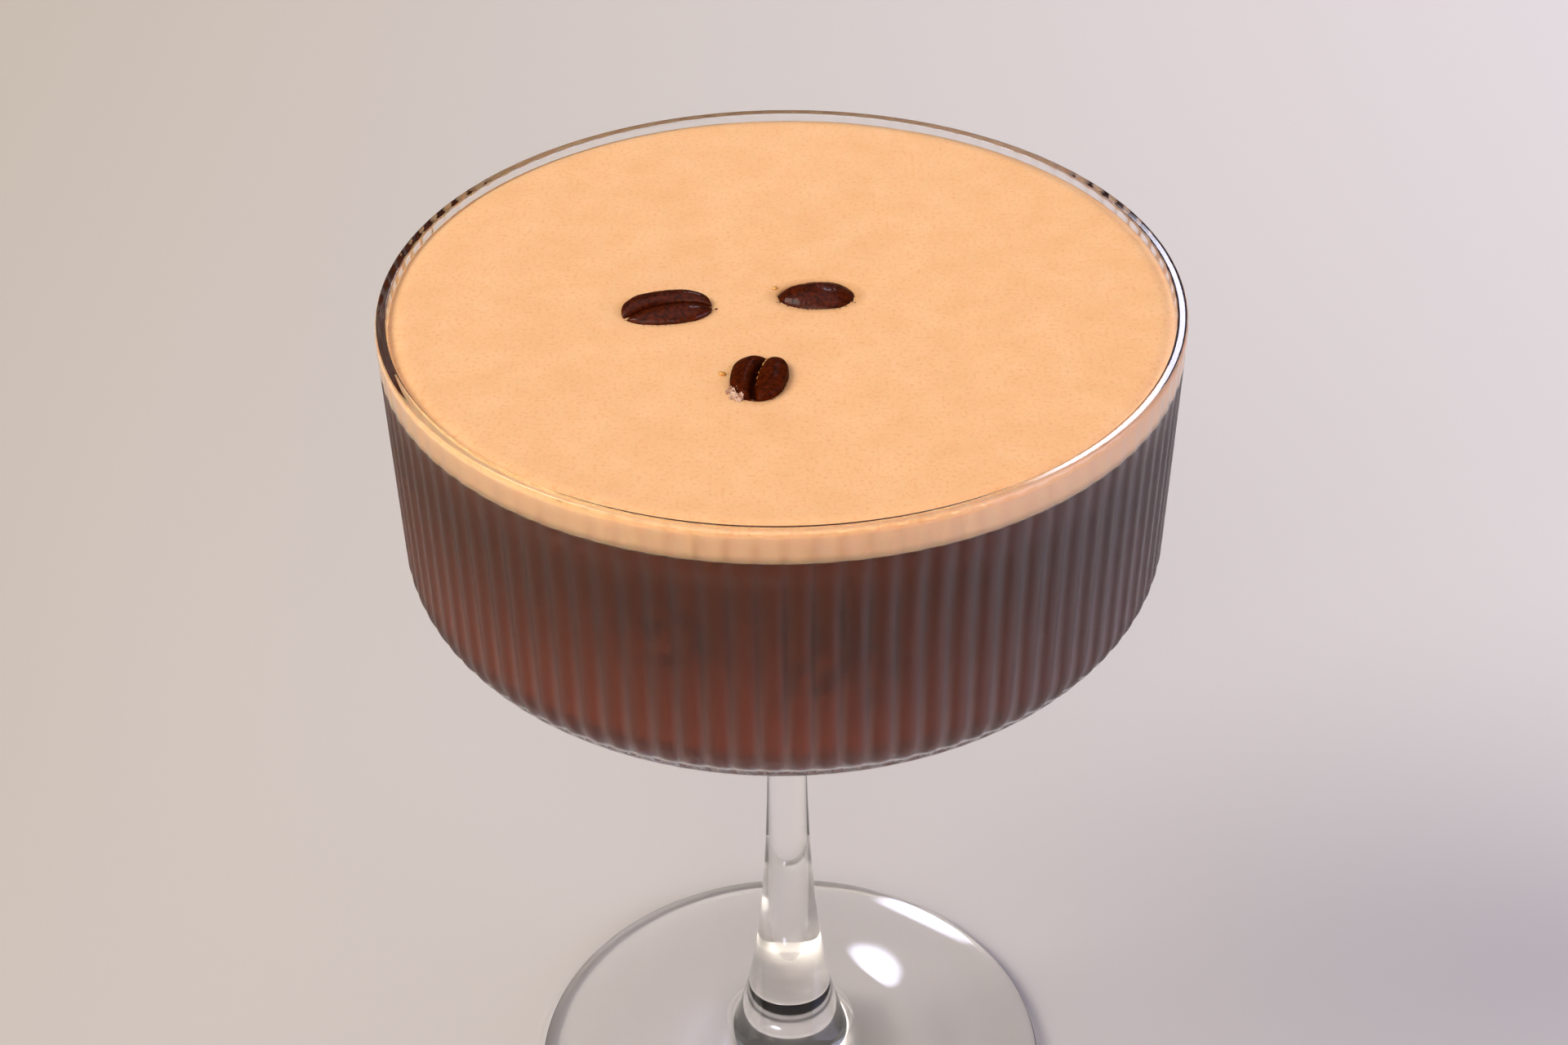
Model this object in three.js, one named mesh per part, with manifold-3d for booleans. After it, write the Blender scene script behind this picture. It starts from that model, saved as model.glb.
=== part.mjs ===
import * as THREE from "three";
import { mergeVertices } from "three/addons/utils/BufferGeometryUtils.js";
import Module from "manifold-3d";

const wasm = await Module();
wasm.setup();

// An espresso martini in a reeded coupe glass: coffee, a cap of foam and three coffee beans on it.
// Millimetres, +Z up, origin at the middle of the foot's underside. The drinker's side is -Y.

// Driving dimensions of the bowl
const GLASS_HEIGHT = 134;
const RIM_RADIUS = 50;
const RIM_WALL = 1.45;
const RIM_ROUND = 0.7;
const BOWL_DEPTH = 44;
const BOWL_TAPER = 1;
const BOWL_WALL = 1.7;
const BOWL_FLOOR = 5;
const CORNER_WIDTH = 20;
const CORNER_HEIGHT = 12;
const BORE_CORNER_WIDTH = 17.5;
const REED_COUNT = 96;
const REED_DEPTH = 0.28;
const REED_FADE = [45, 48.6];

// Driving dimensions of the stem and foot, with the pull points of the curves that join them
const STEM_RADIUS = 2.7;
const STEM_FLARE_TOP = 60;
const BELL_RADIUS = 8;
const BELL_HEIGHT = 9;
const NECK_START = 72;
const NECK_RADIUS = 11;
const FOOT_RADIUS = 37.3;
const FOOT_EDGE_RADIUS = 1.1;
const FOOT_EDGE_BEVEL = 0.35;
const FOOT_HOLLOW = 0.9;
const FOOT_REST_RADIUS = 30;
const FOOT_PULLS = [18.6, 3.2, 9.6, 4.2];
const BELL_PULLS = [6, 16, 3.2, 26];
const NECK_PULLS = [STEM_RADIUS, 82, 4, 89];

// Driving dimensions of the drink
const FOAM_BELOW_RIM = 0.5;
const FOAM_THICKNESS = 4;
const FOAM_EDGE_DROP = 0.3;
const FOAM_EDGE_WIDTH = 3;
const FILL_GAP = 0.2;
const POCKET_GAP = 0.3;

// Driving dimensions of the beans, which lie in the foam about its level
const BEAN_CROWN = 1.3;
const CREASE_DEPTH = 0.8;
const CREASE_HALF_WIDTH = 0.25;
const BEANS = [
  { name: "bean_left", length: 11.3, width: 7, back: 2.9, at: [-14.1, -1.9], lift: 0, turn: 9, roll: 6 },
  { name: "bean_right", length: 10.8, width: 7.1, back: 2.4, at: [4.3, 1], lift: -1.3, turn: -2, roll: 180 },
  { name: "bean_front", length: 9.7, width: 7.1, back: 2.9, at: [-2.8, -18.2], lift: 0, turn: 82, roll: -4 },
];

// Facets
const REED_SEGMENTS = 3;
const BOWL_SEGMENTS = REED_COUNT * REED_SEGMENTS;
const BORE_SEGMENTS = 96;
const STEM_SEGMENTS = 48;
const FILL_SEGMENTS = 72;
const CORNER_STEPS = 3;
const FLARE_STEPS = 5;
const BEAN_SEGMENTS = [24, 12];

// Levels that follow from the sizes above
const FLOOR_Z = GLASS_HEIGHT - BOWL_DEPTH;
const CORNER_Z = FLOOR_Z + CORNER_HEIGHT;
const CORNER_RADIUS = RIM_RADIUS - BOWL_TAPER;
const BORE_FLOOR_Z = FLOOR_Z + BOWL_FLOOR;
const BORE_CORNER_RADIUS = CORNER_RADIUS - BOWL_WALL;
const BORE_RIM_RADIUS = RIM_RADIUS - RIM_WALL;
const FOAM_TOP = GLASS_HEIGHT - FOAM_BELOW_RIM;
const FOAM_BOTTOM = FOAM_TOP - FOAM_THICKNESS;

// A closed body of revolution about Z from a path of radius and height that starts and ends on the axis
function revolve(path, segments, steps) {
  const geometry = new THREE.LatheGeometry(path.getPoints(steps), segments);
  return geometry.rotateX(Math.PI / 2);
}

function solidOf(geometry) {
  const bare = geometry.clone();
  bare.deleteAttribute("normal");
  bare.deleteAttribute("uv");
  const merged = mergeVertices(bare, 1e-4);
  const vertProperties = new Float32Array(merged.attributes.position.array);
  const triVerts = new Uint32Array(merged.index.array);
  return new wasm.Manifold(new wasm.Mesh({ numProp: 3, vertProperties, triVerts }));
}

function geometryOf(solid) {
  const mesh = solid.getMesh();
  const geometry = new THREE.BufferGeometry();
  geometry.setAttribute("position", new THREE.BufferAttribute(mesh.vertProperties, mesh.numProp));
  geometry.setIndex(new THREE.BufferAttribute(mesh.triVerts, 1));
  const faceted = geometry.toNonIndexed();
  faceted.computeVertexNormals();
  return faceted;
}

// The bore widens evenly from the corner of the bowl to its rim
function boreRadius(z) {
  return THREE.MathUtils.mapLinear(z, CORNER_Z, GLASS_HEIGHT, BORE_CORNER_RADIUS, BORE_RIM_RADIUS);
}

// Presses the reeds' sharp valleys into a revolved bowl: full on the wall, fading round the corner and at the rim
function reed(geometry) {
  const { position, normal } = geometry.attributes;
  const [fadeFrom, fadeTo] = REED_FADE;
  for (let i = 0; i < position.count; i++) {
    const point = new THREE.Vector3().fromBufferAttribute(position, i);
    const outward = new THREE.Vector3().fromBufferAttribute(normal, i);
    const onReed = (Math.atan2(point.y, point.x) / (2 * Math.PI)) * REED_COUNT;
    const valley = 1 - Math.abs(Math.sin(Math.PI * onReed));
    const onWall = point.z < GLASS_HEIGHT - RIM_ROUND / 2 ? 1 : 0;
    const fade = THREE.MathUtils.smoothstep(Math.hypot(point.x, point.y), fadeFrom, fadeTo) * onWall;
    point.addScaledVector(outward, -REED_DEPTH * valley * fade);
    position.setXYZ(i, point.x, point.y, point.z);
  }
  return geometry;
}

// The bowl's outside: a flat middle, an elliptical corner, a nearly upright wall and a bevelled lip
function bowlOutside() {
  const path = new THREE.Path();
  path.moveTo(0, FLOOR_Z);
  path.lineTo(CORNER_RADIUS - CORNER_WIDTH, FLOOR_Z);
  path.absellipse(CORNER_RADIUS - CORNER_WIDTH, CORNER_Z, CORNER_WIDTH, CORNER_HEIGHT, -Math.PI / 2, 0);
  path.lineTo(RIM_RADIUS, GLASS_HEIGHT - RIM_ROUND);
  path.lineTo(RIM_RADIUS - RIM_ROUND, GLASS_HEIGHT);
  path.lineTo(0, GLASS_HEIGHT);
  return reed(revolve(path, BOWL_SEGMENTS, CORNER_STEPS));
}

// The bowl's smooth inside, drawn past the rim so that it opens upward with a bevelled lip
function bore() {
  const flatRadius = BORE_CORNER_RADIUS - BORE_CORNER_WIDTH;
  const overshoot = 2 * RIM_ROUND;
  const path = new THREE.Path();
  path.moveTo(0, BORE_FLOOR_Z);
  path.lineTo(flatRadius, BORE_FLOOR_Z);
  path.absellipse(flatRadius, CORNER_Z, BORE_CORNER_WIDTH, CORNER_Z - BORE_FLOOR_Z, -Math.PI / 2, 0);
  path.lineTo(BORE_RIM_RADIUS, GLASS_HEIGHT - RIM_ROUND);
  path.lineTo(BORE_RIM_RADIUS + RIM_ROUND, GLASS_HEIGHT + RIM_ROUND / 2);
  path.lineTo(BORE_RIM_RADIUS + RIM_ROUND, GLASS_HEIGHT + overshoot);
  path.lineTo(0, GLASS_HEIGHT + overshoot);
  return revolve(path, BORE_SEGMENTS, CORNER_STEPS);
}

// A thin round foot, slightly hollow underneath, drawn up through a bell into the stem and spread into the bowl
function stemAndFoot() {
  const edgeCentre = FOOT_RADIUS - FOOT_EDGE_RADIUS;
  const footTop = 2 * FOOT_EDGE_RADIUS;
  const neckTop = FLOOR_Z + BOWL_FLOOR / 2;
  const halfway = 1 / 2;
  const path = new THREE.Path();
  path.moveTo(0, FOOT_HOLLOW);
  path.lineTo(FOOT_REST_RADIUS * halfway, FOOT_HOLLOW * (1 - halfway ** 2));
  path.lineTo(FOOT_REST_RADIUS, 0);
  path.lineTo(edgeCentre, 0);
  path.lineTo(FOOT_RADIUS - FOOT_EDGE_BEVEL, FOOT_EDGE_BEVEL);
  path.lineTo(FOOT_RADIUS, FOOT_EDGE_RADIUS);
  path.lineTo(FOOT_RADIUS - FOOT_EDGE_BEVEL, footTop - FOOT_EDGE_BEVEL);
  path.lineTo(edgeCentre, footTop);
  path.bezierCurveTo(...FOOT_PULLS, BELL_RADIUS, BELL_HEIGHT);
  path.bezierCurveTo(...BELL_PULLS, STEM_RADIUS, STEM_FLARE_TOP);
  path.lineTo(STEM_RADIUS, NECK_START);
  path.bezierCurveTo(...NECK_PULLS, NECK_RADIUS, neckTop);
  path.lineTo(0, neckTop);
  return revolve(path, STEM_SEGMENTS, FLARE_STEPS);
}

function glass() {
  const blank = solidOf(bowlOutside()).add(solidOf(stemAndFoot()));
  return geometryOf(blank.subtract(solidOf(bore())));
}

// Coffee fills the bore up to the foam
function coffee() {
  const top = FOAM_BOTTOM - FILL_GAP;
  const floor = BORE_FLOOR_Z + FILL_GAP;
  const flatRadius = BORE_CORNER_RADIUS - BORE_CORNER_WIDTH;
  const path = new THREE.Path();
  path.moveTo(0, floor);
  path.lineTo(flatRadius, floor);
  path.absellipse(flatRadius, CORNER_Z, BORE_CORNER_WIDTH - FILL_GAP, CORNER_Z - floor, -Math.PI / 2, 0);
  path.lineTo(boreRadius(top) - FILL_GAP, top);
  path.lineTo(0, top);
  return revolve(path, FILL_SEGMENTS, CORNER_STEPS);
}

// A roasted bean, long along X, with its creased flat side up and its rounded back down
function beanForm(bean, grow) {
  const crown = BEAN_CROWN + grow;
  const back = bean.back + grow;
  const creaseDepth = grow > 0 ? 0 : CREASE_DEPTH;
  const geometry = new THREE.SphereGeometry(1, ...BEAN_SEGMENTS).rotateZ(Math.PI / 2);
  const { position } = geometry.attributes;
  for (let i = 0; i < position.count; i++) {
    const [x, y, z] = new THREE.Vector3().fromBufferAttribute(position, i).toArray();
    const nearCrease = Math.max(0, 1 - Math.abs(y) / CREASE_HALF_WIDTH);
    const crease = z > 0 ? creaseDepth * nearCrease * (1 - x * x) : 0;
    const height = z > 0 ? crown * z : back * z;
    position.setXYZ(i, x * (bean.length / 2 + grow), y * (bean.width / 2 + grow), height - crease);
  }
  return geometry;
}

function lay(object, bean) {
  const [x, y] = bean.at;
  object.position.set(x, y, FOAM_TOP + bean.lift);
  object.rotation.set(THREE.MathUtils.degToRad(bean.roll), 0, THREE.MathUtils.degToRad(bean.turn), "ZYX");
  object.updateMatrix();
  return object;
}

// The foam lies flat on the coffee, rounds down to the wall and holds a pocket for each bean
function foam() {
  const edgeTop = FOAM_TOP - FOAM_EDGE_DROP;
  const edgeStart = boreRadius(FOAM_TOP) - FOAM_EDGE_WIDTH;
  const path = new THREE.Path();
  path.moveTo(0, FOAM_BOTTOM);
  path.lineTo(boreRadius(FOAM_BOTTOM) - FILL_GAP, FOAM_BOTTOM);
  path.lineTo(boreRadius(edgeTop) - FILL_GAP, edgeTop);
  path.quadraticCurveTo(edgeStart + FOAM_EDGE_WIDTH / 2, FOAM_TOP, edgeStart, FOAM_TOP);
  path.lineTo(0, FOAM_TOP);
  let solid = solidOf(revolve(path, FILL_SEGMENTS, CORNER_STEPS));
  for (const bean of BEANS) {
    const place = lay(new THREE.Object3D(), bean);
    const pocket = beanForm(bean, POCKET_GAP).applyMatrix4(place.matrix);
    solid = solid.subtract(solidOf(pocket));
  }
  return geometryOf(solid);
}

function part(name, geometry, finish) {
  const mesh = new THREE.Mesh(geometry, new THREE.MeshStandardMaterial(finish));
  mesh.name = name;
  return mesh;
}

const clearGlass = { color: 0xdfe3e2, roughness: 0.08, metalness: 0 };
const coffeeBrown = { color: 0x3a1f14, roughness: 0.2, metalness: 0 };
const foamTan = { color: 0xf2c193, roughness: 0.7, metalness: 0 };
const roastBrown = { color: 0x3b1d12, roughness: 0.4, metalness: 0 };

const drink = new THREE.Group();
drink.add(part("glass", glass(), clearGlass));
drink.add(part("coffee", coffee(), coffeeBrown));
drink.add(part("foam", foam(), foamTan));
for (const bean of BEANS) {
  drink.add(lay(part(bean.name, beanForm(bean, 0), roastBrown), bean));
}

export default drink;
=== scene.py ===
import math

import bpy
import numpy as np
from mathutils import Euler, Matrix, Vector, noise


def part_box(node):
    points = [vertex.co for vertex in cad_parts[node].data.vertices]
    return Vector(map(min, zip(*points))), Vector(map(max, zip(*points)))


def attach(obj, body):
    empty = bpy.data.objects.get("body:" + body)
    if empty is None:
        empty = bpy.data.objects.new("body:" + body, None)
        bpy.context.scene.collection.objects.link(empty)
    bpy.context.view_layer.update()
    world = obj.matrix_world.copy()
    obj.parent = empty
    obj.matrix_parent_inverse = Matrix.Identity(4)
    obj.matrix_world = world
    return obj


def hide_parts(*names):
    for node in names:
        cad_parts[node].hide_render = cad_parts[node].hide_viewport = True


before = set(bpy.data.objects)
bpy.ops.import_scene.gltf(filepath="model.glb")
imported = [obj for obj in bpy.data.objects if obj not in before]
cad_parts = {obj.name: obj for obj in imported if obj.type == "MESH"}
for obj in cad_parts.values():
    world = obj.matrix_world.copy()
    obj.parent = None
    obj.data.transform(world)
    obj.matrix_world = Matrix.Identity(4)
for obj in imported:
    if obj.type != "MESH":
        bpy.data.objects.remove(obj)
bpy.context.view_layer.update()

# The coupe glass: one piece of clear soda-lime glass, with upright reeds pressed into the outside of the
# bowl and a smooth bore over a thick floor. The stem is drawn down from the bowl and spread through a bell
# into a round foot. The lip is cut flat and its edges are eased.

MM = 0.001
RIM_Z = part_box("glass")[1][2]
RIM_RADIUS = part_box("glass")[1][0]
RIM_WALL = 1.45 * MM
LIP_ROUND = 0.25 * MM
LIP_SHOULDER = np.array([0.35, 0.8]) * MM
BOWL_DEPTH = 44 * MM
BOWL_TAPER = 1.0 * MM
BOWL_WALL = 1.7 * MM
BOWL_FLOOR = 6.2 * MM
CORNER = np.array([20.0, 12.0]) * MM
BORE_CORNER_WIDTH = 22 * MM
REEDS = 96
REED_FACETS = 8
REED_DEPTH = 0.45 * MM
REED_NARROWING = 1.5
REED_START = np.array([46.8, 47.6]) * MM
REED_FADE = np.array([9.0, 4.5]) * MM
REED_FADE_SHARE = 0.75
STEM_RADIUS = 2.7 * MM
STEM_FLARE_TOP = 60 * MM
BELL = np.array([8.0, 9.0]) * MM
BELL_PULLS = np.array([[6.0, 16.0], [3.2, 26.0]]) * MM
NECK_START = 72 * MM
NECK_RADIUS = 12.0 * MM
NECK_PULLS = np.array([[2.7, 83.0], [4.0, 90.0]]) * MM
FOOT_RADIUS = 37.3 * MM
FOOT_EDGE = 1.1 * MM
FOOT_HOLLOW = 0.9 * MM
FOOT_REST = 30.0 * MM
FOOT_PULLS = np.array([[18.6, 3.2], [9.6, 4.2]]) * MM

FLOOR_Z = RIM_Z - BOWL_DEPTH
CORNER_Z = FLOOR_Z + CORNER[1]
CORNER_RADIUS = RIM_RADIUS - BOWL_TAPER
BORE_RIM_RADIUS = RIM_RADIUS - RIM_WALL
BORE_CORNER_RADIUS = CORNER_RADIUS - BOWL_WALL
BORE_FLOOR_Z = FLOOR_Z + BOWL_FLOOR
BORE_FLAT = BORE_CORNER_RADIUS - BORE_CORNER_WIDTH


def line(start, end, steps):
    share = np.linspace(0, 1, steps + 1)[:, None]
    return np.array(start) * (1 - share) + np.array(end) * share


def bend(start, pulls, end, steps):
    """A cubic curve from start to end with two pull points."""
    t = np.linspace(0, 1, steps + 1)[:, None]
    near = (1 - t) ** 3 * np.array(start) + 3 * (1 - t) ** 2 * t * pulls[0]
    return near + 3 * (1 - t) * t ** 2 * pulls[1] + t ** 3 * np.array(end)


def arc(centre, radii, start, stop, steps):
    turn = np.radians(np.linspace(start, stop, steps + 1))
    return np.array(centre) + np.stack([np.cos(turn), np.sin(turn)], -1) * np.array(radii)


def outline_of(*stretches):
    """One run of radius and height from stretches that meet end to end."""
    run = [stretches[0]] + [stretch[1:] for stretch in stretches[1:]]
    return np.concatenate(run)


def smooth(value, low, high):
    """A soft step from 0 at low to 1 at high."""
    share = np.clip((value - low) / (high - low), 0, 1)
    return share * share * (3 - 2 * share)


def rows_of_faces(count, facets):
    """Quads between closed rows of vertices, closed at both ends by a fan on one more vertex each."""
    here = np.arange(facets)
    after = np.roll(here, -1)
    rows = np.arange(count - 1)[:, None] * facets
    above = rows + facets
    quads = np.stack([rows + here, rows + after, above + after, above + here], -1).reshape(-1, 4)
    last = (count - 1) * facets
    start_fan = np.stack([np.full(facets, count * facets), after, here], -1)
    end_fan = np.stack([np.full(facets, count * facets + 1), last + here, last + after], -1)
    return quads.tolist() + start_fan.tolist() + end_fan.tolist()


def revolved(outline, facets, sink=0.0):
    """Vertices and faces of an outline turned about Z, pressed in along its normal by sink."""
    turn = np.arange(facets) * 2 * math.pi / facets
    around = np.stack([np.cos(turn), np.sin(turn)], -1)
    slope = np.gradient(outline, axis=0)
    normal = np.stack([slope[:, 1], -slope[:, 0]], -1)
    normal /= np.linalg.norm(normal, axis=1, keepdims=True)
    depth = np.broadcast_to(sink, (len(outline) - 2, facets))[..., None]
    pressed = outline[1:-1, None, :] - normal[1:-1, None, :] * depth
    rings = np.concatenate([pressed[..., :1] * around[None], pressed[..., 1:]], -1)
    ends = [[0, 0, outline[0, 1]], [0, 0, outline[-1, 1]]]
    return np.concatenate([rings.reshape(-1, 3), ends]), rows_of_faces(len(rings), facets)


def piece(name, vertices, faces, finish):
    """A smooth-shaded mesh piece that rides on the part's one body."""
    mesh = bpy.data.meshes.new(name)
    mesh.from_pydata(np.asarray(vertices).tolist(), [], faces)
    mesh.shade_smooth()
    mesh.materials.append(finish)
    made = bpy.data.objects.new(name, mesh)
    bpy.context.scene.collection.objects.link(made)
    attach(made, "root")
    return made


def srgb(code):
    """Linear colour of an sRGB hex value."""
    parts = [int(code[i:i + 2], 16) / 255 for i in (1, 3, 5)]
    return [c / 12.92 if c <= 0.04045 else ((c + 0.055) / 1.055) ** 2.4 for c in parts] + [1.0]


def add(tree, kind, inputs=None, stops=(), **settings):
    """A new node with its settings, its (position, hex) colour stops, and its input values or links."""
    made = tree.nodes.new(kind)
    for name, value in settings.items():
        setattr(made, name, value)
    for number, (position, code) in enumerate(stops):
        made.color_ramp.elements[number].position = position
        made.color_ramp.elements[number].color = srgb(code)
    for name, value in (inputs or {}).items():
        if isinstance(value, bpy.types.NodeSocket):
            tree.links.new(value, made.inputs[name])
        else:
            made.inputs[name].default_value = value
    return made


def new_material(name):
    """A bare node material, its tree and the object coordinates in it."""
    finish = bpy.data.materials.new(name)
    finish.use_nodes = True
    finish.node_tree.nodes.clear()
    place = add(finish.node_tree, "ShaderNodeTexCoord").outputs["Object"]
    return finish, finish.node_tree, place


def reed_sink(outline):
    """How deep each vertex of the bowl lies in the reeds: narrow valleys between rounded crests."""
    turn = np.arange(REEDS * REED_FACETS) / REED_FACETS
    valley = ((1 + np.cos(2 * math.pi * turn)) / 2) ** REED_NARROWING
    radius, height = outline[1:-1, 0], outline[1:-1, 1]
    outside = np.arange(len(radius)) < np.argmax(height)
    under_lip = 1 - REED_FADE_SHARE * smooth(height, RIM_Z - REED_FADE[0], RIM_Z - REED_FADE[1])
    at_lip = 1 - smooth(height, RIM_Z - LIP_SHOULDER[1], RIM_Z)
    fade = smooth(radius, *REED_START) * under_lip * at_lip * outside
    return REED_DEPTH * fade[:, None] * valley


foot_rim = FOOT_RADIUS - FOOT_EDGE
lip_z = RIM_Z - LIP_ROUND
shoulder_z = RIM_Z - LIP_SHOULDER[1]
lip_outer = RIM_RADIUS - LIP_SHOULDER[0]
lip_inner = BORE_RIM_RADIUS + LIP_ROUND
foot_hollow = line((0, FOOT_HOLLOW), (FOOT_REST, 0), 6)
foot_hollow[:, 1] = FOOT_HOLLOW * (1 - (foot_hollow[:, 0] / FOOT_REST) ** 2)
glass_outline = outline_of(
    foot_hollow,
    line((FOOT_REST, 0), (foot_rim, 0), 2),
    arc((foot_rim, FOOT_EDGE), (FOOT_EDGE, FOOT_EDGE), -90, 90, 8),
    bend((foot_rim, 2 * FOOT_EDGE), FOOT_PULLS, BELL, 12),
    bend(BELL, BELL_PULLS, (STEM_RADIUS, STEM_FLARE_TOP), 12),
    line((STEM_RADIUS, STEM_FLARE_TOP), (STEM_RADIUS, NECK_START), 1),
    bend((STEM_RADIUS, NECK_START), NECK_PULLS, (NECK_RADIUS, FLOOR_Z), 9),
    line((NECK_RADIUS, FLOOR_Z), (CORNER_RADIUS - CORNER[0], FLOOR_Z), 1),
    arc((CORNER_RADIUS - CORNER[0], CORNER_Z), CORNER, -90, 0, 36),
    line((CORNER_RADIUS, CORNER_Z), (RIM_RADIUS, shoulder_z), 8),
    arc((lip_outer, shoulder_z), LIP_SHOULDER, 0, 90, 7),
    line((lip_outer, RIM_Z), (lip_inner, RIM_Z), 4),
    arc((lip_inner, lip_z), (LIP_ROUND, LIP_ROUND), 90, 180, 5),
    line((BORE_RIM_RADIUS, lip_z), (BORE_CORNER_RADIUS, CORNER_Z), 2),
    arc((BORE_FLAT, CORNER_Z), (BORE_CORNER_WIDTH, CORNER_Z - BORE_FLOOR_Z), 0, -90, 10),
    line((BORE_FLAT, BORE_FLOOR_Z), (0, BORE_FLOOR_Z), 1),
)

# Clear soda-lime glass, pressed and polished. The cold drink has fogged the bowl's wall, more on the left,
# with droplets too fine to see one by one, which blur what is behind and dull the shine. Their grain is drawn
# coarser than life so that it shows. The lip, the floor, the stem and the foot stay clear.
GLASS_IOR = 1.5
FOG_TOP = np.array([3.6, 4.8]) * MM
FOG_BASE = np.array([97.4, 97.8]) * MM
FOG_SIDES = np.array([-40.0, 15.0]) * MM
FOG_COVER = 0.9, 0.75
PATCH = 9 * MM
PATCH_COVER = 0.9, 1.0
DROPLET = 0.3 * MM
DROPLET_HEIGHT = 0.06 * MM
ROUGHNESS_CLEAR, ROUGHNESS_FOGGED = 0.03, 0.5
WHITE_LINE_Z = 97.8 * MM
BASE_WAVE = 0.25 * MM
WHITE_LINE_WIDTH = 0.5 * MM
WHITE_LINE_SHARE = 0.35
WATER_AND_SHEEN_RIGHT = np.array([5.0, 40.0]) * MM
WATER_AND_SHEEN_RIGHT_WHITE = 0.008, 0.035
WATER_AND_SHEEN_LOW = np.array([114.0, 102.0]) * MM
WATER_AND_SHEEN_LOW_WHITE = 0.03

glass_finish, tree, place = new_material("fogged soda-lime glass")
spot = add(tree, "ShaderNodeSeparateXYZ", {"Vector": place})
around = add(tree, "ShaderNodeMath", {0: spot.outputs["Y"], 1: spot.outputs["X"]}, operation="ARCTAN2")
reeds = add(tree, "ShaderNodeMath", {0: around.outputs[0], 1: REEDS}, operation="MULTIPLY")
ripple = add(tree, "ShaderNodeMath", {0: reeds.outputs[0]}, operation="COSINE").outputs[0]
wavy = add(tree, "ShaderNodeMath", {
    0: ripple, 1: BASE_WAVE, 2: spot.outputs["Z"]}, operation="MULTIPLY_ADD")
below_lip = add(tree, "ShaderNodeMapRange", {
    "Value": spot.outputs["Z"], "From Min": RIM_Z - FOG_TOP[0], "From Max": RIM_Z - FOG_TOP[1]})
above_base = add(tree, "ShaderNodeMapRange", {
    "Value": wavy.outputs[0], "From Min": FOG_BASE[0], "From Max": FOG_BASE[1]})
fog = add(tree, "ShaderNodeMath", {
    0: below_lip.outputs["Result"], 1: above_base.outputs["Result"]}, operation="MULTIPLY").outputs[0]
thicker = add(tree, "ShaderNodeMapRange", {
    "Value": spot.outputs["X"], "From Min": FOG_SIDES[0], "From Max": FOG_SIDES[1],
    "To Min": FOG_COVER[0], "To Max": FOG_COVER[1]})
breath = add(tree, "ShaderNodeTexNoise", {"Vector": place, "Scale": 1 / PATCH, "Detail": 2.0})
patches = add(tree, "ShaderNodeMapRange", {
    "Value": breath.outputs["Fac"], "From Min": 0.3, "From Max": 0.7,
    "To Min": PATCH_COVER[0], "To Max": PATCH_COVER[1]})
patched = add(tree, "ShaderNodeMath", {0: fog, 1: patches.outputs["Result"]}, operation="MULTIPLY")
cover = add(tree, "ShaderNodeMath", {
    0: patched.outputs[0], 1: thicker.outputs["Result"]}, operation="MULTIPLY")
dulled = add(tree, "ShaderNodeMapRange", {
    "Value": cover.outputs[0], "To Min": ROUGHNESS_CLEAR, "To Max": ROUGHNESS_FOGGED})
droplets = add(tree, "ShaderNodeTexNoise", {"Vector": place, "Scale": 1 / DROPLET, "Detail": 2.0})
beads = add(tree, "ShaderNodeMath", {0: droplets.outputs["Fac"], 1: fog}, operation="MULTIPLY")
grain = add(tree, "ShaderNodeBump", {
    "Height": beads.outputs[0], "Strength": 0.25, "Distance": DROPLET_HEIGHT})

# Water in the valleys between the reeds scatters a little white light. Its share is raised towards the right
# and low on the bowl as painted sheen, standing in for the stripes of light there. A wavy white line runs
# where the reeds run out.
# Painted sheen: more white towards the right and low on the bowl, where the window and the table light the
# stripes.
right = add(tree, "ShaderNodeMapRange", {
    "Value": spot.outputs["X"], "From Min": WATER_AND_SHEEN_RIGHT[0], "From Max": WATER_AND_SHEEN_RIGHT[1],
    "To Min": WATER_AND_SHEEN_RIGHT_WHITE[0], "To Max": WATER_AND_SHEEN_RIGHT_WHITE[1]})
lower = add(tree, "ShaderNodeMapRange", {
    "Value": spot.outputs["Z"], "From Min": WATER_AND_SHEEN_LOW[0], "From Max": WATER_AND_SHEEN_LOW[1],
    "To Min": 0.0, "To Max": WATER_AND_SHEEN_LOW_WHITE})
water_and_sheen = add(tree, "ShaderNodeMath", {0: right.outputs["Result"], 1: lower.outputs["Result"]}, operation="ADD")
valley = add(tree, "ShaderNodeMath", {0: ripple, 1: water_and_sheen.outputs[0]}, operation="MULTIPLY", use_clamp=True)
# A wavy white line at the base of the fog, just where the reeds run out.
above_line = add(tree, "ShaderNodeMath", {0: wavy.outputs[0], 1: WHITE_LINE_Z}, operation="SUBTRACT")
off_line = add(tree, "ShaderNodeMath", {0: above_line.outputs[0]}, operation="ABSOLUTE")
white_line = add(tree, "ShaderNodeMapRange", {
    "Value": off_line.outputs[0], "From Min": 0.0, "From Max": WHITE_LINE_WIDTH,
    "To Min": WHITE_LINE_SHARE, "To Max": 0.0})
veil = add(tree, "ShaderNodeMath", {
    0: valley.outputs[0], 1: fog, 2: white_line.outputs["Result"]}, operation="MULTIPLY_ADD")
clear = add(tree, "ShaderNodeMath", {0: 1.0, 1: veil.outputs[0]}, operation="SUBTRACT")
shader = add(tree, "ShaderNodeBsdfPrincipled", {
    "Base Color": srgb("#FFFFFF"), "IOR": GLASS_IOR, "Roughness": dulled.outputs["Result"],
    "Transmission Weight": clear.outputs[0], "Normal": grain.outputs["Normal"]})
add(tree, "ShaderNodeOutputMaterial", {"Surface": shader.outputs["BSDF"]})

vertices, faces = revolved(glass_outline, REEDS * REED_FACETS, reed_sink(glass_outline))
glass = piece("coupe_glass", vertices, faces, glass_finish)
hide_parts("glass")

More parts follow.
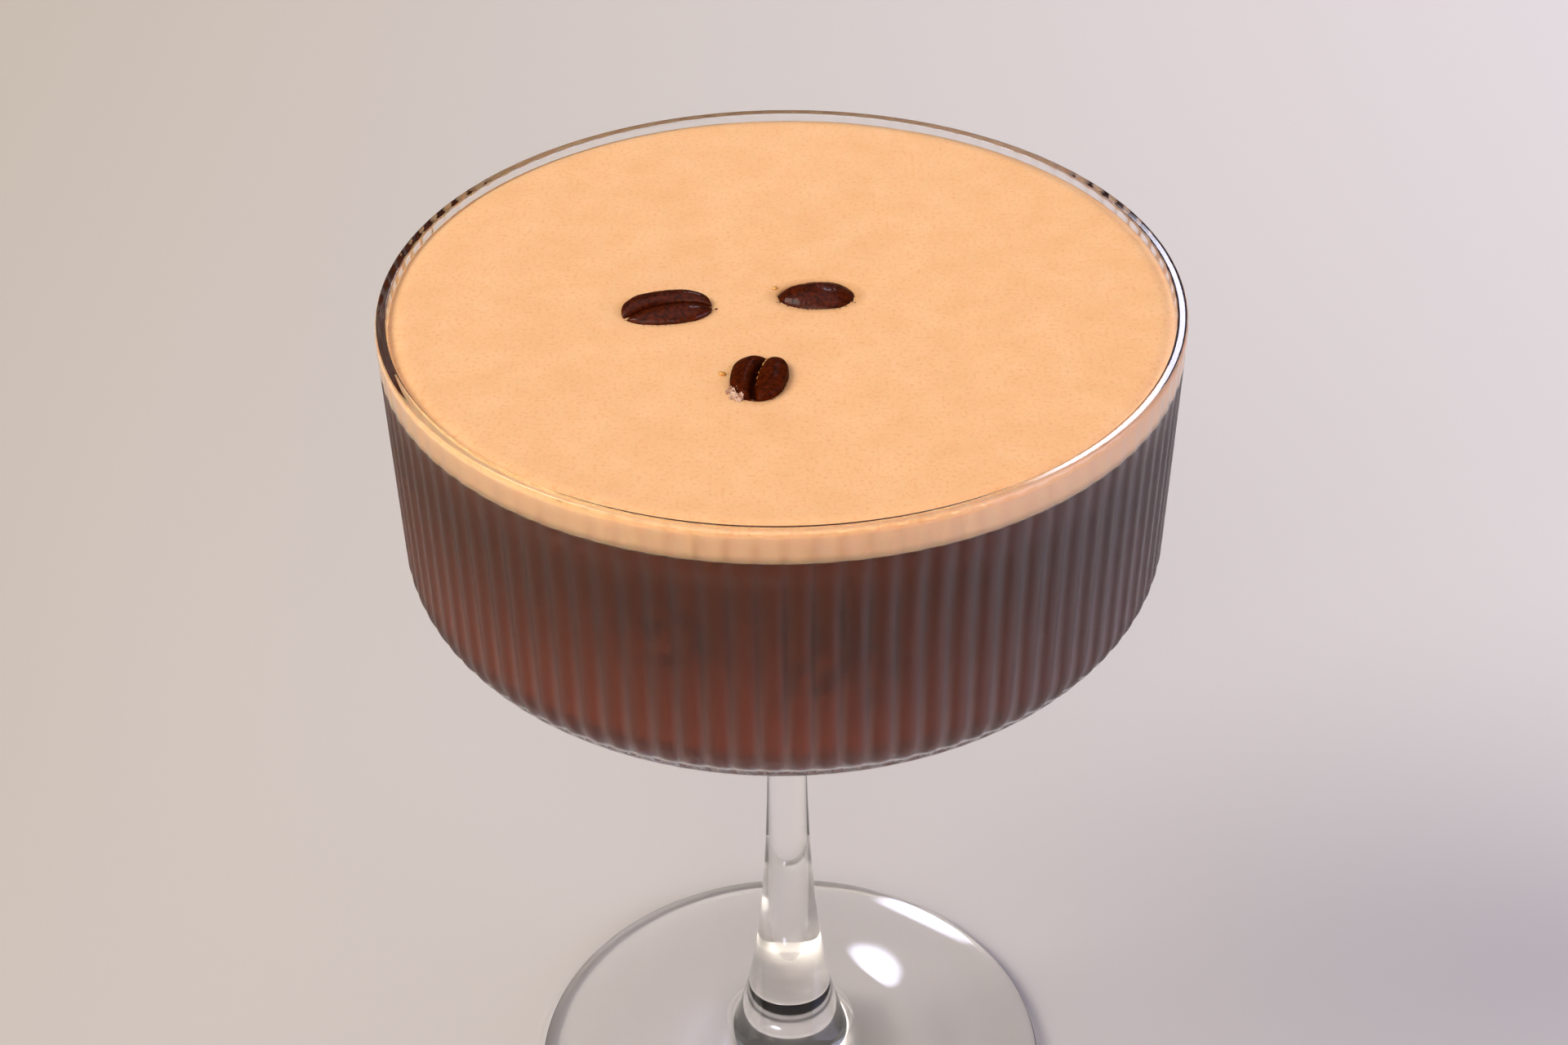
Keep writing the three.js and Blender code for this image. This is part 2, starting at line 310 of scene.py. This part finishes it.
# The drink: cold coffee shaken with spirit and liqueur, dark red-brown and all but opaque. It fills the bore
# up to the foam and is let into the wall by a hair, so that it wets the glass.

WETTING = 0.12 * MM
FOAM_SINK = 0.5 * MM
FOAM_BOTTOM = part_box("foam")[0][2] - FOAM_SINK
COFFEE_OVERLAP = 0.05 * MM
COFFEE_TOP = FOAM_BOTTOM + COFFEE_OVERLAP
COFFEE_FACETS = 192


def bore_radius(height):
    share = (height - CORNER_Z) / (lip_z - CORNER_Z)
    return BORE_CORNER_RADIUS + share * (BORE_RIM_RADIUS - BORE_CORNER_RADIUS)


coffee_floor = BORE_FLOOR_Z - WETTING
coffee_edge = bore_radius(COFFEE_TOP) + WETTING
coffee_outline = outline_of(
    line((0, coffee_floor), (BORE_FLAT, coffee_floor), 2),
    arc((BORE_FLAT, CORNER_Z), (BORE_CORNER_WIDTH + WETTING, CORNER_Z - coffee_floor), -90, 0, 16),
    line((BORE_CORNER_RADIUS + WETTING, CORNER_Z), (coffee_edge, COFFEE_TOP), 6),
    line((coffee_edge, COFFEE_TOP), (0, COFFEE_TOP), 3),
)

# Coffee is dark because it soaks up light. What little comes back is red-brown, most where the table lights
# the rounded bottom of the drink and least under the foam and on the shaded right, with slow swirls and two
# clots of coffee oil at the wall. Glass and drink bend light almost alike, so little shines between them.
DRINK_IOR = 1.34
SWIRL = 16 * MM
SWIRL_SHARE = 0.3
CLOTS = [(np.array([-14.0, -45.0, 117.0]) * MM, 9 * MM), (np.array([6.0, -47.0, 114.0]) * MM, 11 * MM)]
CLOT_GRAIN = 3 * MM
CLOT_SHADE = 0.5
SHADED_SIDE = np.array([4.0, 38.0]) * MM
SIDE_SHADE = 0.6

# Places of the lower and upper colour and of the result on a mix node, whose sockets share their names.
UNDER, OVER, MIXED = 6, 7, 2

coffee_finish, tree, place = new_material("espresso")
spot = add(tree, "ShaderNodeSeparateXYZ", {"Vector": place})
depth = add(tree, "ShaderNodeMapRange", {
    "Value": spot.outputs["Z"], "From Min": BORE_FLOOR_Z, "From Max": COFFEE_TOP})
swirl = add(tree, "ShaderNodeTexNoise", {"Vector": place, "Scale": 1 / SWIRL, "Detail": 2.0})
swirled = add(tree, "ShaderNodeMath", {
    0: swirl.outputs["Fac"], 1: SWIRL_SHARE, 2: depth.outputs["Result"]}, operation="MULTIPLY_ADD")
brown = add(tree, "ShaderNodeValToRGB", {"Fac": swirled.outputs[0]}, [
    (0.1, "#853A22"), (0.9, "#592810")]).outputs["Color"]
clot = add(tree, "ShaderNodeTexNoise", {"Vector": place, "Scale": 1 / CLOT_GRAIN, "Detail": 4.0})
clotted = add(tree, "ShaderNodeMapRange", {
    "Value": clot.outputs["Fac"], "From Min": 0.42, "From Max": 0.58, "To Min": 0.0, "To Max": CLOT_SHADE})
for middle, reach in CLOTS:
    away = add(tree, "ShaderNodeVectorMath", {0: place, 1: middle}, operation="DISTANCE")
    inside = add(tree, "ShaderNodeMapRange", {
        "Value": away.outputs["Value"], "From Min": reach / 3, "From Max": reach,
        "To Min": 1.0, "To Max": 0.0})
    dark = add(tree, "ShaderNodeMath", {
        0: inside.outputs["Result"], 1: clotted.outputs["Result"]}, operation="MULTIPLY")
    brown = add(tree, "ShaderNodeMix", {
        "Factor": dark.outputs[0], UNDER: brown, OVER: srgb("#2E130A")}, data_type="RGBA").outputs[MIXED]
shaded = add(tree, "ShaderNodeMapRange", {
    "Value": spot.outputs["X"], "From Min": SHADED_SIDE[0], "From Max": SHADED_SIDE[1],
    "To Min": 0.0, "To Max": SIDE_SHADE})
brown = add(tree, "ShaderNodeMix", {
    "Factor": shaded.outputs["Result"], UNDER: brown, OVER: srgb("#2C1C1E")}, data_type="RGBA").outputs[MIXED]
shader = add(tree, "ShaderNodeBsdfPrincipled", {
    "Base Color": brown, "Roughness": 0.1, "IOR": GLASS_IOR / DRINK_IOR})
add(tree, "ShaderNodeOutputMaterial", {"Surface": shader.outputs["BSDF"]})

vertices, faces = revolved(coffee_outline, COFFEE_FACETS)
coffee = piece("coffee_liquid", vertices, faces, coffee_finish)
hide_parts("coffee")

# The foam: a dense cap of coffee foam shaken up with the drink, tan, dull and nearly flat. It is made of
# bubbles too fine to see, with a few pores, clings to the wall, and dips where it takes the beans' weight.

FOAM_RING = 0.5 * MM
FOAM_FACETS = 384
FOAM_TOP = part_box("foam")[1][2]
FOAM_EDGE_WIDTH = 2.5 * MM
FOAM_EDGE_DROP = 0.55 * MM
SWELL_HEIGHT = 0.05 * MM
SWELL_WIDTH = 11 * MM
DENT_DEPTH = 0.12 * MM
DENT_REACH = 1.4 * MM
BED_DEPTH = 2.0 * MM
BED_EDGE = 0.7, 0.9
BEAN_NODES = ["bean_left", "bean_right", "bean_front"]


def foam_height(x, y):
    """Level of the foam's top at points x, y."""
    radius = np.hypot(x, y)
    edge = smooth(radius, BORE_RIM_RADIUS - FOAM_EDGE_WIDTH, BORE_RIM_RADIUS)
    swell = [noise.noise(Vector((a, b, 0)) / SWELL_WIDTH) for a, b in zip(x, y)]
    level = FOAM_TOP - SWELL_HEIGHT - FOAM_EDGE_DROP * edge ** 2 + SWELL_HEIGHT * np.array(swell)
    for node in BEAN_NODES:
        low, high = np.array(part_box(node))[:, :2]
        half, middle = (high - low) / 2, (high + low) / 2
        reach = np.hypot((x - middle[0]) / half[0], (y - middle[1]) / half[1])
        gap = np.maximum(reach - BED_EDGE[1], 0) * half.min()
        level = level - DENT_DEPTH * np.exp(-(gap / DENT_REACH) ** 2)
        level = level - BED_DEPTH * (1 - smooth(reach, *BED_EDGE))
    return level


foam_edge = bore_radius(FOAM_TOP) + WETTING
foam_outline = outline_of(
    line((0, FOAM_BOTTOM), (bore_radius(FOAM_BOTTOM) + WETTING, FOAM_BOTTOM), 4),
    line((bore_radius(FOAM_BOTTOM) + WETTING, FOAM_BOTTOM), (foam_edge, FOAM_TOP), 4),
    line((foam_edge, FOAM_TOP), (0, FOAM_TOP), round(foam_edge / FOAM_RING)),
)
vertices, faces = revolved(foam_outline, FOAM_FACETS)
on_top = np.isclose(vertices[:, 2], FOAM_TOP)
vertices[on_top, 2] = foam_height(vertices[on_top, 0], vertices[on_top, 1])

# Coffee foam: a mass of fine bubbles that scatters light like cream, so it is dull and evenly tan, with faint
# orange clouds a few millimetres across and scattered pores, and with its bubbles drawn coarser than life so
# that they show. It is painted darker round each bean, as painted shade where bean meets foam, and painted
# paler on its side against the glass, as painted light on the band seen through the wall.
CLOUD = 5 * MM
PORE = 0.5 * MM
PORE_SHADE = 0.6
BEAN_SHADE_EDGE = 0.9, 1.22
BEAN_SHADE_STRENGTH = 0.5
NO_HEIGHT = 1000 * MM
SIDE_LIGHT_BAND = np.array([0.5, 1.2]) * MM
BUBBLE = 0.35 * MM
BUBBLE_HEIGHT = 0.08 * MM

foam_finish, tree, place = new_material("coffee foam")
cloud = add(tree, "ShaderNodeTexNoise", {
    "Vector": place, "Scale": 1 / CLOUD, "Detail": 5.0, "Roughness": 0.6})
tan = add(tree, "ShaderNodeValToRGB", {"Fac": cloud.outputs["Fac"]}, [
    (0.3, "#F0BA86"), (0.7, "#F6C492")]).outputs["Color"]
pores = add(tree, "ShaderNodeTexNoise", {"Vector": place, "Scale": 1 / PORE, "Detail": 2.0})
pore = add(tree, "ShaderNodeMapRange", {
    "Value": pores.outputs["Fac"], "From Min": 0.52, "From Max": 0.75, "To Min": 0.0, "To Max": PORE_SHADE})
tan = add(tree, "ShaderNodeMix", {
    "Factor": pore.outputs["Result"], UNDER: tan, OVER: srgb("#E6A26C")}, data_type="RGBA").outputs[MIXED]
# Painted shade: the foam is darkened towards brown in a ring round each bean's outline, where the bean shades
# it.
for node in BEAN_NODES:
    low, high = np.array(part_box(node))
    half = (high[0] - low[0]) / 2, (high[1] - low[1]) / 2, NO_HEIGHT
    off = add(tree, "ShaderNodeVectorMath", {0: place, 1: (high + low) / 2}, operation="SUBTRACT")
    shrunk = add(tree, "ShaderNodeVectorMath", {0: off.outputs["Vector"], 1: half}, operation="DIVIDE")
    reach = add(tree, "ShaderNodeVectorMath", {0: shrunk.outputs["Vector"]}, operation="LENGTH")
    bean_shade = add(tree, "ShaderNodeMapRange", {
        "Value": reach.outputs["Value"], "From Min": BEAN_SHADE_EDGE[0], "From Max": BEAN_SHADE_EDGE[1],
        "To Min": BEAN_SHADE_STRENGTH, "To Max": 0.0})
    tan = add(tree, "ShaderNodeMix", {
        "Factor": bean_shade.outputs["Result"], UNDER: tan, OVER: srgb("#B87C48")},
        data_type="RGBA").outputs[MIXED]
# Painted light: the foam's side below its top is made paler, standing in for light reaching the band seen
# through the glass.
level = add(tree, "ShaderNodeSeparateXYZ", {"Vector": place}).outputs["Z"]
side = add(tree, "ShaderNodeMapRange", {
    "Value": level, "From Min": FOAM_TOP - SIDE_LIGHT_BAND[0], "From Max": FOAM_TOP - SIDE_LIGHT_BAND[1]})
body = add(tree, "ShaderNodeMix", {
    "Factor": side.outputs["Result"], UNDER: tan, OVER: srgb("#F9D1A8")}, data_type="RGBA")
froth = add(tree, "ShaderNodeTexNoise", {"Vector": place, "Scale": 1 / BUBBLE, "Detail": 3.0})
relief = add(tree, "ShaderNodeBump", {
    "Height": froth.outputs["Fac"], "Strength": 0.2, "Distance": BUBBLE_HEIGHT})
shader = add(tree, "ShaderNodeBsdfPrincipled", {
    "Base Color": body.outputs[MIXED], "Roughness": 0.7, "Specular IOR Level": 0.2,
    "Subsurface Weight": 0.5, "Subsurface Radius": (1.0, 0.6, 0.4), "Subsurface Scale": 1 * MM,
    "Normal": relief.outputs["Normal"]})
add(tree, "ShaderNodeOutputMaterial", {"Surface": shader.outputs["BSDF"]})

foam = piece("foam_cap", vertices, faces, foam_finish)
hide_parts("foam")

# The beans: dark roasted coffee beans laid on the foam, each with a rounded back and a flat side split by
# its crease. Two lie crease up and one lies on its flat side. Roasting leaves them oily and finely wrinkled.

BEAN_CROWN = 1.25 * MM
CROWN_POWER = 0.75
CREASE_DEPTH = 1.5 * MM
CREASE_FADE = 2.5
LOBE_ROUND = 0.4 * MM
LOBE_WIDTH = 1.0 * MM
SIDE_SWELL = 1.5
WRINKLE_WIDTHS = np.array([0.4, 1.7, 1.2]) * MM
WRINKLE_HEIGHT = 0.03 * MM
LUMP_WIDTH = 1.6 * MM
LUMP_HEIGHT = 0.07 * MM
GRIT_WIDTH = 0.28 * MM
GRIT_HEIGHT = 0.015 * MM
BEAN_ALONG, BEAN_AROUND = 120, 160
BEANS = {
    "bean_left": dict(length=11.1, width=6.5, back=2.9, shift=-0.25, lift=0.0, turn=9, roll=6, taper=0.04,
                      fullness=2.4, crease=(-1.3, 0.25, -0.3), slit=0.22, seed=3.0),
    "bean_right": dict(length=10.1, width=6.7, back=2.4, shift=-0.1, lift=-1.3, turn=-2, roll=180, taper=0.24,
                       fullness=2.15, crease=(0, 0, 0), slit=0.2, seed=8.0),
    "bean_front": dict(length=9.2, width=6.8, back=2.9, shift=0.0, lift=0.0, turn=82, roll=-4, taper=0.1,
                       fullness=2.5, crease=(-0.1, 0.4, -0.5), slit=0.32, seed=15.0),
}


def bean_place(name):
    """Where a bean lies: over the middle of its node, turned and rolled."""
    facts = BEANS[name]
    low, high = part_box(name)
    turned = Euler((math.radians(facts["roll"]), 0, math.radians(facts["turn"])), "XYZ")
    middle = (Vector(low) + Vector(high)) / 2
    middle.y += facts["shift"] * MM
    middle.z = FOAM_TOP + facts["lift"] * MM
    return Matrix.Translation(middle) @ turned.to_matrix().to_4x4()


def crease_at(name, along):
    """How far to the side a bean's crease runs, at a share of its half length."""
    foot, middle, head = BEANS[name]["crease"]
    return (middle + (head - foot) / 2 * along + ((head + foot) / 2 - middle) * along ** 2) * MM


def wrinkle(spot, seed):
    """How far a roasted skin stands out at a spot: fine creases across the bean, over broader lumps."""
    crease = noise.noise(Vector(spot / WRINKLE_WIDTHS) + Vector((seed, 0, 0)))
    lump = noise.noise(Vector(spot / LUMP_WIDTH) + Vector((0, seed, 0)))
    grit = noise.noise(Vector(spot / GRIT_WIDTH) + Vector((0, 0, seed)))
    return WRINKLE_HEIGHT * crease + LUMP_HEIGHT * lump + GRIT_HEIGHT * grit


def bean_mesh(name):
    """Vertices and faces of a bean in its place."""
    facts = BEANS[name]
    half = np.array([facts["length"] / 2, facts["width"] / 2, 1]) * MM
    along = np.linspace(0, math.pi, BEAN_ALONG + 1)[1:-1, None]
    around = np.linspace(0, 2 * math.pi, BEAN_AROUND, endpoint=False)[None, :]
    ring = np.sin(along)
    ball = np.stack([np.cos(along) + 0 * around, ring * np.cos(around), ring * np.sin(around)])
    x, y, z = ball * (np.abs(ball) ** facts["fullness"]).sum(0) ** (-1 / facts["fullness"])
    y = y * (1 + facts["taper"] * x)
    off = y * half[1] - crease_at(name, x)
    slit = CREASE_DEPTH * np.exp(-(off / (facts["slit"] * MM)) ** 2)
    split = slit + LOBE_ROUND * np.exp(-(off / LOBE_WIDTH) ** 2)
    top = BEAN_CROWN * np.clip(z, 0, 1) ** CROWN_POWER - split * np.clip(CREASE_FADE * z, 0, 1)
    height = np.where(z > 0, top, facts["back"] * MM * z)
    spots = np.stack([x * half[0], y * half[1], height], -1).reshape(-1, 3)
    spots = np.concatenate([spots, [[half[0], 0, 0], [-half[0], 0, 0]]])
    outward = spots / np.array([half[0], half[1] / SIDE_SWELL, BEAN_CROWN])
    outward /= np.linalg.norm(outward, axis=1, keepdims=True)
    spots = spots + outward * np.array([wrinkle(spot, facts["seed"]) for spot in spots])[:, None]
    place = np.array(bean_place(name))
    faces = [face[::-1] for face in rows_of_faces(len(along), BEAN_AROUND)]
    return spots @ place[:3, :3].T + place[:3, 3], faces


# Roasted coffee bean: a thin wrinkled skin over a woody body, burnt to a red-brown with darker streaks. The
# oil that roasting drives out lies on it as a thin clear coat, which gives soft glints.
STREAK = 0.6 * MM
SKIN_WRINKLE = 0.35 * MM
SKIN_RELIEF = 0.12 * MM


def bean_material(name, oil):
    """Roasted bean skin under a share of oil."""
    finish, tree, place = new_material(name)
    streak = add(tree, "ShaderNodeTexNoise", {
        "Vector": place, "Scale": 1 / STREAK, "Detail": 6.0, "Roughness": 0.65})
    skin = add(tree, "ShaderNodeValToRGB", {"Fac": streak.outputs["Fac"]}, [
        (0.3, "#180400"), (0.72, "#5A1E03")])
    wrinkles = add(tree, "ShaderNodeTexNoise", {"Vector": place, "Scale": 1 / SKIN_WRINKLE, "Detail": 4.0})
    relief = add(tree, "ShaderNodeBump", {
        "Height": wrinkles.outputs["Fac"], "Strength": 0.5, "Distance": SKIN_RELIEF})
    shader = add(tree, "ShaderNodeBsdfPrincipled", {
        "Base Color": skin.outputs["Color"], "Roughness": 0.5, "Specular IOR Level": 0.02,
        "Coat Weight": oil, "Coat Roughness": 0.19, "Normal": relief.outputs["Normal"]})
    add(tree, "ShaderNodeOutputMaterial", {"Surface": shader.outputs["BSDF"]})
    return finish


oily_bean = bean_material("oily roasted bean", 0.32)
dull_bean = bean_material("dull roasted bean", 0.04)
for name in BEANS:
    vertices, faces = bean_mesh(name)
    finish = dull_bean if name == "bean_front" else oily_bean
    bean = piece(name.replace("bean", "roasted_bean"), vertices, faces, finish)
    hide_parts(name)

# The crumbs: flakes of golden chaff and dark grounds that the beans have shed, lying on the foam and in the
# crease of the front bean, and a little loose froth that rides up on that bean's near edge.

GRAIN_ALONG, GRAIN_AROUND = 8, 12
GRAIN_LUMPS = 0.25
GRAIN_LUMP_TURNS = 1.3
draw = np.random.default_rng(7)


def grains(name, spots, finish):
    """One piece of small lumpy grains, each with a centre, three radii and a turn about Z."""
    along = np.linspace(0, math.pi, GRAIN_ALONG + 1)[1:-1, None]
    around = np.linspace(0, 2 * math.pi, GRAIN_AROUND, endpoint=False)[None, :]
    ring = np.sin(along)
    ball = np.stack([ring * np.cos(around), ring * np.sin(around), -np.cos(along) + 0 * around], -1)
    ball = np.concatenate([ball.reshape(-1, 3), [[0, 0, -1], [0, 0, 1]]])
    one = rows_of_faces(GRAIN_ALONG - 1, GRAIN_AROUND)
    vertices, faces = [], []
    for number, (centre, radii, turn) in enumerate(spots):
        own = Vector((number, 0, 0))
        lumps = np.array([noise.noise(Vector(p) * GRAIN_LUMP_TURNS + own) for p in ball])
        shape = ball * (1 + GRAIN_LUMPS * lumps)[:, None] * np.array(radii)
        turned = np.array(Matrix.Rotation(turn, 3, "Z"))
        faces += [[i + number * len(ball) for i in face] for face in one]
        vertices.append(shape @ turned.T + np.array(centre))
    made = piece(name, np.concatenate(vertices), faces, finish)


def on_foam(x, y):
    return np.array([x, y, foam_height(np.array([x]), np.array([y]))[0]])


def beside_bean(name, turn, stray):
    """A spot on the foam at an angle about a bean and a stray distance out from its edge."""
    facts = BEANS[name]
    along = (facts["length"] / 2 * MM + stray) * math.cos(turn)
    across = (facts["width"] / 2 * MM + stray) * math.sin(turn)
    spot = bean_place(name) @ Vector((along, across, 0))
    return on_foam(spot[0], spot[1])


# Chaff: the bean's own papery silver skin, toasted to a translucent gold.
CHAFF_FIBRE = 0.25 * MM
chaff_finish, tree, place = new_material("toasted chaff")
fibre = add(tree, "ShaderNodeTexNoise", {"Vector": place, "Scale": 1 / CHAFF_FIBRE, "Detail": 3.0})
gold = add(tree, "ShaderNodeValToRGB", {"Fac": fibre.outputs["Fac"]}, [(0.35, "#C07826"), (0.65, "#E0AC62")])
shader = add(tree, "ShaderNodeBsdfPrincipled", {"Base Color": gold.outputs["Color"], "Roughness": 0.6})
add(tree, "ShaderNodeOutputMaterial", {"Surface": shader.outputs["BSDF"]})

# Two flakes lie loose on the foam, each with its place, radii and turn. A row of small ones clings along the
# front bean's crease, larger towards its far end.
LOOSE_FLAKES = [((-7.1, -17.0), (0.5, 0.36, 0.26), -0.2), ((-0.8, 2.8), (0.4, 0.3, 0.16), 0.3)]
FLAKE_LIFT = np.array([0, 0, 0.1]) * MM
CREASE_LIP = np.array([-0.5, 0.72]) * MM
CREASE_FLAKES = 22
CREASE_STRETCH = -0.5, 0.72
FAR_STRETCH = 0.3
FAR_GROWTH = 1.5
FLAKE_SIZE = 0.08, 0.16
FLAKE_SLIMNESS = 0.35
FLAKE_STRAY = 0.05
FLAKE_TURN = 0.4
chaff = []
for (x, y), radii, turn in LOOSE_FLAKES:
    chaff.append((on_foam(x * MM, y * MM) + FLAKE_LIFT, np.array(radii) * MM, turn))
half_length = BEANS["bean_front"]["length"] / 2 * MM
along_bean = math.radians(BEANS["bean_front"]["turn"])
for along in draw.uniform(*CREASE_STRETCH, CREASE_FLAKES):
    size = draw.uniform(*FLAKE_SIZE) * (FAR_GROWTH if along > FAR_STRETCH else 1.0) * MM
    across = crease_at("bean_front", along) + CREASE_LIP[0] + draw.normal(0, FLAKE_STRAY) * MM
    spot = bean_place("bean_front") @ Vector((along * half_length, across, CREASE_LIP[1]))
    radii = np.array([size, size * FLAKE_SLIMNESS, size * FLAKE_SLIMNESS])
    chaff.append((np.array(spot), radii, along_bean + draw.normal(0, FLAKE_TURN)))
grains("chaff_flakes", chaff, chaff_finish)

# One larger ground lies by itself at the left bean's tip, and fine ones lie along a stretch of each bean's
# edge, given in degrees about the bean.
LONE_GROUND = (-8.0, -1.9), (0.22, 0.14, 0.12), 0.4
GROUNDS_EACH = 24
GROUND_STRAY = -0.15, 0.35
GROUND_SIZE = 0.04, 0.09
GROUND_SHAPE = np.array([1.0, 0.8, 0.7])
DUSTED_EDGES = {"bean_left": (200, 350), "bean_right": (20, 160), "bean_front": (100, 260)}
(x, y), radii, turn = LONE_GROUND
grounds = [(on_foam(x * MM, y * MM), np.array(radii) * MM, turn)]
for name, edge in DUSTED_EDGES.items():
    for turn in np.radians(draw.uniform(*edge, GROUNDS_EACH)):
        spot = beside_bean(name, turn, draw.uniform(*GROUND_STRAY) * MM)
        size = draw.uniform(*GROUND_SIZE) * MM
        grounds.append((spot, size * GROUND_SHAPE, draw.uniform(0, math.pi)))
grains("coffee_grounds", grounds, dull_bean)

# Froth: single bubbles of the foam, thin-walled and pale, stained by the bean.
FROTH_TONE = 0.6 * MM
froth_finish, tree, place = new_material("loose froth")
shade = add(tree, "ShaderNodeTexNoise", {"Vector": place, "Scale": 1 / FROTH_TONE, "Detail": 2.0})
pale = add(tree, "ShaderNodeValToRGB", {"Fac": shade.outputs["Fac"]}, [(0.35, "#A8765C"), (0.65, "#DABDAA")])
shader = add(tree, "ShaderNodeBsdfPrincipled", {"Base Color": pale.outputs["Color"], "Roughness": 0.5})
add(tree, "ShaderNodeOutputMaterial", {"Surface": shader.outputs["BSDF"]})

# The bubbles heap up against the bean's near left edge, and those inside its outline sit on its crown.
BUBBLES = 260
FROTHED_EDGE = 122, 160
FROTH_STRAY = 0.3, 0.3
FROTH_SIZE = 0.05, 0.15
FROTH_RISE = 0.8
FROTH_HEAP = 0.6 * MM
FROTH_REACH = 0.5 * MM
FROTH_LIFT = 0.3
bubbles = []
half_width = BEANS["bean_front"]["width"] / 2 * MM
fullness = BEANS["bean_front"]["fullness"]
for turn in np.radians(draw.uniform(*FROTHED_EDGE, BUBBLES)):
    stray = draw.normal(*FROTH_STRAY) * MM
    spot = beside_bean("bean_front", turn, stray)
    size = draw.uniform(*FROTH_SIZE) * MM
    inside = max(-stray, 0) / half_width
    rise = FROTH_RISE * BEAN_CROWN * (1 - (1 - inside) ** fullness) ** (CROWN_POWER / fullness)
    heap = draw.uniform(0, FROTH_HEAP) * math.exp(-(stray / FROTH_REACH) ** 2)
    spot[2] = max(spot[2], FOAM_TOP - DENT_DEPTH) + FROTH_LIFT * size + max(rise, heap)
    bubbles.append((spot, np.array([size, size, size]), 0.0))
grains("froth_bubbles", bubbles, froth_finish)

# The stage: a plain pale table top under soft studio light from the drinker's side and the ceiling, with a
# cool window on the right and a warm one on the left. The drink stands near the table's front edge, and the
# room is dim.

TABLE_SIDES = 700 * MM
TABLE_FRONT = -170 * MM
TABLE_BACK = 650 * MM
TABLE_DROP = 0.2 * MM

# Plaster: dull and even, with painted light in its colour: warmer on the left and cooler and brighter on the
# right, standing in for the warm left window and the cool right window.
TABLE_TINT_SPAN = 200 * MM
table_finish, tree, place = new_material("pale plaster table")
across = add(tree, "ShaderNodeSeparateXYZ", {"Vector": place}).outputs["X"]
side = add(tree, "ShaderNodeMapRange", {
    "Value": across, "From Min": -TABLE_TINT_SPAN, "From Max": TABLE_TINT_SPAN})
plaster = add(tree, "ShaderNodeValToRGB", {"Fac": side.outputs["Result"]}, [
    (0.0, "#C3BCB2"), (1.0, "#DDDBE2")])
shader = add(tree, "ShaderNodeBsdfPrincipled", {
    "Base Color": plaster.outputs["Color"], "Roughness": 0.7, "Specular IOR Level": 0.2})
add(tree, "ShaderNodeOutputMaterial", {"Surface": shader.outputs["BSDF"]})
ends = ((-1, TABLE_FRONT), (1, TABLE_FRONT), (1, TABLE_BACK), (-1, TABLE_BACK))
corners = [(side * TABLE_SIDES, end, -TABLE_DROP) for side, end in ends]
table_mesh = bpy.data.meshes.new("table_top")
table_mesh.from_pydata(corners, [], [(0, 1, 2, 3)])
table_mesh.materials.append(table_finish)
table = bpy.data.objects.new("table_top", table_mesh)
bpy.context.scene.collection.objects.link(table)

# Each light is a soft round glow: its direction, the angles of its core and its outer edge in degrees, its
# colour and its strength.
ROOM = ("#A8A29C", 0.16)
GLOWS = {
    "front": ((-0.25, -0.9, 0.36), 15, 45, "#FFF2E2", 2.8),
    "ceiling": ((0.0, 0.1, 1.0), 10, 45, "#F4F4FF", 0.8),
    "right window": ((0.139, 0.832, 0.537), 2.2, 3.8, "#E8E8FF", 14.0),
    "left window": ((-0.72, -0.1, 0.69), 10, 20, "#FFF6E8", 8.3),
    "right side": ((0.95, -0.25, 0.05), 10, 38, "#D2D2FF", 4.0),
}

world = bpy.data.worlds.new("studio")
bpy.context.scene.world = world
world.use_nodes = True
tree = world.node_tree
tree.nodes.clear()
way = add(tree, "ShaderNodeTexCoord").outputs["Generated"]
light = [c * ROOM[1] for c in srgb(ROOM[0])[:3]]
for towards, core, reach, colour, strength in GLOWS.values():
    middle = Vector(towards).normalized()
    facing = add(tree, "ShaderNodeVectorMath", {0: way, 1: middle}, operation="DOT_PRODUCT")
    share = add(tree, "ShaderNodeMapRange", {
        "Value": facing.outputs["Value"], "From Min": math.cos(math.radians(reach)),
        "From Max": math.cos(math.radians(core))}, interpolation_type="SMOOTHSTEP")
    light = add(tree, "ShaderNodeVectorMath", {
        0: [c * strength for c in srgb(colour)[:3]], 1: share.outputs["Result"], 2: light},
        operation="MULTIPLY_ADD").outputs["Vector"]
glow = add(tree, "ShaderNodeBackground", {"Color": light})
add(tree, "ShaderNodeOutputWorld", {"Surface": glow.outputs["Background"]})

# The camera: a 64 mm view from the drinker's side, looking down on the foam and rolled by a hair. It is
# placed by its distance and elevation from the middle of the rim.

LENS = 63.75
SENSOR_WIDTH = 36.0
CAMERA_DISTANCE = 343.7 * MM
CAMERA_ELEVATION = math.radians(30.95)
CAMERA_PITCH = math.radians(35.62)
CAMERA_ROLL = math.radians(-0.69)

lens = bpy.data.cameras.new("drinker_view")
lens.lens = LENS
lens.sensor_width = SENSOR_WIDTH
lens.sensor_fit = "HORIZONTAL"
lens.clip_start = 10 * MM
camera = bpy.data.objects.new("drinker_view", lens)
camera_back = CAMERA_DISTANCE * math.cos(CAMERA_ELEVATION)
camera_up = CAMERA_DISTANCE * math.sin(CAMERA_ELEVATION)
look = Matrix.Rotation(math.pi / 2 - CAMERA_PITCH, 4, "X") @ Matrix.Rotation(CAMERA_ROLL, 4, "Z")
camera.matrix_world = Matrix.Translation((0, -camera_back, RIM_Z + camera_up)) @ look
bpy.context.scene.collection.objects.link(camera)
bpy.context.scene.camera = camera
bpy.context.scene.view_settings.view_transform = "Standard"

# What is seen through the fogged wall is blurred by the fog alone.
bpy.context.scene.cycles.blur_glossy = 0.0
